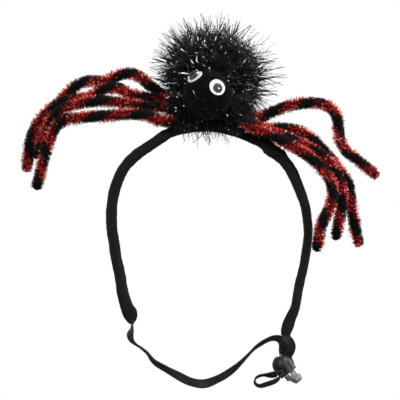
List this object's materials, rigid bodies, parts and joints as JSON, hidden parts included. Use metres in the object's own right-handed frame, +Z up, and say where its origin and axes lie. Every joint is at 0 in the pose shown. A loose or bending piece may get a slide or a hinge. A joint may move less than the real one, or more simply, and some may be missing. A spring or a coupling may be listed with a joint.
{
  "type": "spider headband",
  "caption": "Padded costume headband for a pet with a pompom spider on its crown, wiggle eyes, bendy chenille legs and an elastic chin strap with a sprung cord lock.",
  "frame": {"origin": "where the underside of the headband's crown sits on the head, midway between its sides", "axes": "+Z up as worn, -Y the way the spider faces, +X to the viewer's right, towards the cord lock"},
  "size_m": [0.2732, 0.0981, 0.2728],
  "materials": {
    "black_cloth": "matte",
    "black_elastic": "matte",
    "dark_grey_plastic": "satin",
    "light_grey_plastic": "satin",
    "black_tinsel": "glossy",
    "black_yarn": "matte",
    "red_and_black_chenille": "glossy",
    "white_plastic": "satin",
    "black_plastic": "gloss",
    "clear_plastic": "gloss"
  },
  "bodies": {
    "headpiece": {"headband": "black_cloth", "chin_strap": "black_elastic", "lock_barrel": "dark_grey_plastic", "spider_body": "black_tinsel", "spider_head": "black_yarn", "left_eye_back": "white_plastic", "left_eye_dome": "clear_plastic", "right_eye_back": "white_plastic", "right_eye_dome": "clear_plastic", "left_leg_1": "red_and_black_chenille", "left_leg_2": "red_and_black_chenille", "left_leg_3": "red_and_black_chenille", "left_leg_4": "red_and_black_chenille", "right_leg_1": "red_and_black_chenille", "right_leg_2": "red_and_black_chenille", "right_leg_3": "red_and_black_chenille", "right_leg_4": "red_and_black_chenille"},
    "plunger": {"lock_plunger": "light_grey_plastic"},
    "left_pupil": {"left_eye_pupil": "black_plastic"},
    "right_pupil": {"right_eye_pupil": "black_plastic"}
  },
  "joints": [
    {"name": "lock_plunger_press", "type": "slide", "parent": "headpiece", "child": "plunger", "axis": [-0.6097, 0.1392, 0.7803], "range_m": [0, 0.004], "stiffness_N_per_m": 400, "springref_m": -0.004},
    {"name": "left_pupil_roll", "type": "hinge", "parent": "headpiece", "child": "left_pupil", "pos_m": [-0.01014, -0.02897, 0.0386], "axis": [-0.5367, -0.3705, 0.758], "continuous": true},
    {"name": "right_pupil_roll", "type": "hinge", "parent": "headpiece", "child": "right_pupil", "pos_m": [0.00543, -0.03686, 0.03075], "axis": [0.4306, -0.8611, 0.2704], "continuous": true}
  ]
}
